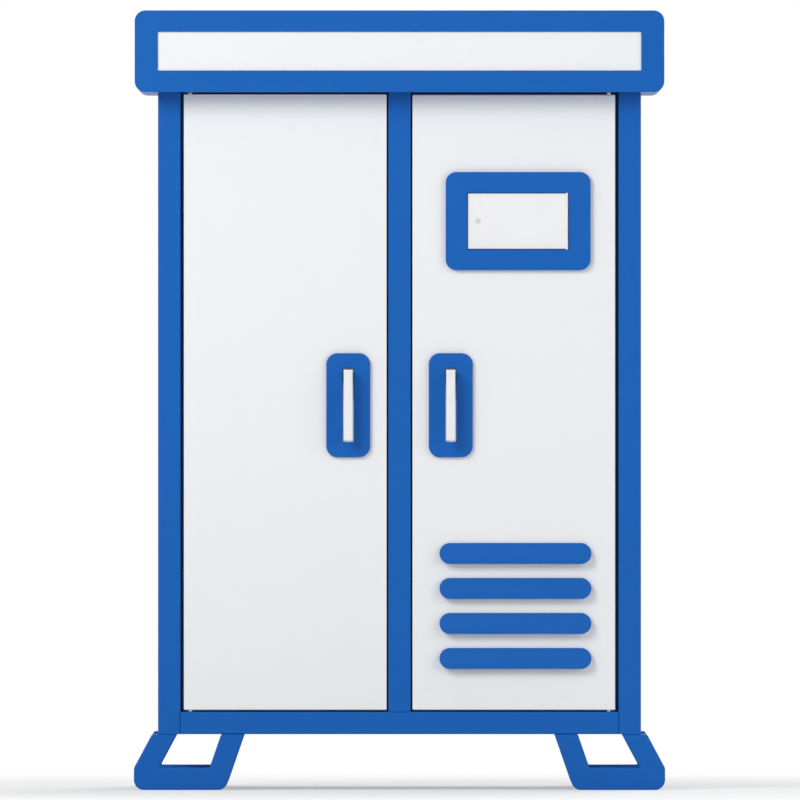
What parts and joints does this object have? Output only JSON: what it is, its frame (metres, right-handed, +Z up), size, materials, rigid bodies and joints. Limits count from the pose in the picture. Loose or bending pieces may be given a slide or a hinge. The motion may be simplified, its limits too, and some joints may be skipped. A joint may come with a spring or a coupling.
{
  "type": "traffic signal controller cabinet",
  "caption": "Two-door floor-standing roadside cabinet on splayed feet, with an overhanging roof, a switch flap, louvres and traffic signal control equipment inside.",
  "frame": {"origin": "on the ground, under the middle of the cabinet", "axes": "+Z up, the doors face -Y, +X is the viewer's right"},
  "size_m": [0.99, 0.61, 1.452],
  "materials": {
    "blue_coat": "satin powder coat",
    "white_coat": "satin powder coat",
    "lever_white": "satin powder coat on die-cast metal",
    "zinc": "bright zinc plate",
    "sheet_aluminium": "mill finish",
    "grey_case": "fine texture",
    "dark_case": "fine texture",
    "black_plastic": "moulded",
    "grey_plastic": "moulded",
    "clear_plastic": "frosted",
    "seal_rubber": "closed-cell foam",
    "filter_media": "pleated fibre",
    "brass_bar": "bare",
    "red_plastic": "moulded"
  },
  "bodies": {
    "root": {"corner_posts": "blue_coat", "ring_rails": "blue_coat", "mullion": "blue_coat", "door_stops": "blue_coat", "door_seals": "seal_rubber", "side_panels": "white_coat", "back_panel": "white_coat", "feet": "blue_coat", "roof_shell": "blue_coat", "roof_fascia": "white_coat", "ceiling_plate": "sheet_aluminium", "hinge_pins": "zinc", "floor_pan": "sheet_aluminium", "gland_plate": "zinc", "mounting_channels": "zinc", "shelves": "sheet_aluminium", "cabinet_lamp": "clear_plastic", "fan_housing": "black_plastic", "controller_unit": "grey_case", "conflict_monitor": "dark_case", "detector_rack": "sheet_aluminium", "detector_cards": "grey_plastic", "power_unit": "grey_case", "circuit_breakers": "black_plastic", "main_panel": "sheet_aluminium", "load_switches": "grey_plastic", "flash_relays": "clear_plastic", "terminal_strips": "black_plastic", "bus_bars": "brass_bar"},
    "right_door": {"right_door": "white_coat", "right_hinge_blocks": "zinc", "right_handle_plate": "blue_coat", "right_latch_frame": "zinc", "louvre_hoods": "blue_coat", "air_filter": "filter_media", "filter_frame": "sheet_aluminium", "flap_frame": "blue_coat", "switch_box": "sheet_aluminium"},
    "left_door": {"left_door": "white_coat", "left_hinge_blocks": "zinc", "left_handle_plate": "blue_coat", "left_latch_frame": "zinc", "document_pouch": "sheet_aluminium"},
    "right_latch": {"right_lever": "lever_white", "right_pinion": "zinc"},
    "left_latch": {"left_lever": "lever_white", "left_pinion": "zinc"},
    "right_top_rod": {"right_top_rod": "zinc"},
    "right_bottom_rod": {"right_bottom_rod": "zinc"},
    "left_top_rod": {"left_top_rod": "zinc"},
    "left_bottom_rod": {"left_bottom_rod": "zinc"},
    "police_flap": {"police_flap": "white_coat"},
    "flap_lock": {"flap_lock": "zinc"},
    "switch_toggle": {"switch_toggle": "zinc"},
    "manual_button": {"manual_button": "red_plastic"},
    "main_toggle": {"main_toggle": "red_plastic"},
    "branch_toggle_1": {"branch_toggle_1": "grey_plastic"},
    "branch_toggle_2": {"branch_toggle_2": "grey_plastic"},
    "fan_rotor": {"fan_rotor": "black_plastic"}
  },
  "joints": [
    {"name": "right_door_hinge", "type": "hinge", "parent": "root", "child": "right_door", "pos_m": [0.39, -0.24, 0.7], "axis": [0, 0, 1], "range_deg": [0, 115]},
    {"name": "right_handle", "type": "hinge", "parent": "right_door", "child": "right_latch", "pos_m": [0.0955, -0.25, 0.769], "axis": [0, -1, 0], "range_deg": [0, 90]},
    {"name": "right_top_rod_slide", "type": "slide", "parent": "right_door", "child": "right_top_rod", "axis": [0, 0, 1], "range_m": [0, 0.0189]},
    {"name": "right_bottom_rod_slide", "type": "slide", "parent": "right_door", "child": "right_bottom_rod", "axis": [0, 0, -1], "range_m": [0, 0.0189]},
    {"name": "left_door_hinge", "type": "hinge", "parent": "root", "child": "left_door", "pos_m": [-0.39, -0.24, 0.7], "axis": [0, 0, -1], "range_deg": [0, 115]},
    {"name": "left_handle", "type": "hinge", "parent": "left_door", "child": "left_latch", "pos_m": [-0.0955, -0.25, 0.769], "axis": [0, 1, 0], "range_deg": [0, 90]},
    {"name": "left_top_rod_slide", "type": "slide", "parent": "left_door", "child": "left_top_rod", "axis": [0, 0, 1], "range_m": [0, 0.0189]},
    {"name": "left_bottom_rod_slide", "type": "slide", "parent": "left_door", "child": "left_bottom_rod", "axis": [0, 0, -1], "range_m": [0, 0.0189]},
    {"name": "police_flap_hinge", "type": "hinge", "parent": "right_door", "child": "police_flap", "pos_m": [0.312, -0.2548, 1.06], "axis": [0, 0, 1], "range_deg": [0, 110]},
    {"name": "flap_lock_turn", "type": "hinge", "parent": "police_flap", "child": "flap_lock", "pos_m": [0.1465, -0.2553, 1.06], "axis": [0, -1, 0], "range_deg": [0, 90]},
    {"name": "switch_toggle_tilt", "type": "hinge", "parent": "right_door", "child": "switch_toggle", "pos_m": [0.189, -0.18225, 1.06], "axis": [1, 0, 0], "range_deg": [0, 24]},
    {"name": "manual_button_push", "type": "slide", "parent": "right_door", "child": "manual_button", "axis": [0, 1, 0], "range_m": [0, 0.003], "stiffness_N_per_m": 600},
    {"name": "fan_spin", "type": "hinge", "parent": "root", "child": "fan_rotor", "pos_m": [0, 0, 1.363], "axis": [0, 0, 1], "continuous": true},
    {"name": "main_toggle_throw", "type": "hinge", "parent": "root", "child": "main_toggle", "pos_m": [0.09, -0.1453, 0.69], "axis": [1, 0, 0], "range_deg": [0, 40]},
    {"name": "branch_toggle_1_throw", "type": "hinge", "parent": "root", "child": "branch_toggle_1", "pos_m": [0.13, -0.1453, 0.69], "axis": [1, 0, 0], "range_deg": [0, 40]},
    {"name": "branch_toggle_2_throw", "type": "hinge", "parent": "root", "child": "branch_toggle_2", "pos_m": [0.17, -0.1453, 0.69], "axis": [1, 0, 0], "range_deg": [0, 40]}
  ],
  "couplings": [
    {"joint": "right_top_rod_slide", "follows": "right_handle", "m_per_rad": 0.012},
    {"joint": "right_bottom_rod_slide", "follows": "right_handle", "m_per_rad": 0.012},
    {"joint": "left_top_rod_slide", "follows": "left_handle", "m_per_rad": 0.012},
    {"joint": "left_bottom_rod_slide", "follows": "left_handle", "m_per_rad": 0.012}
  ]
}
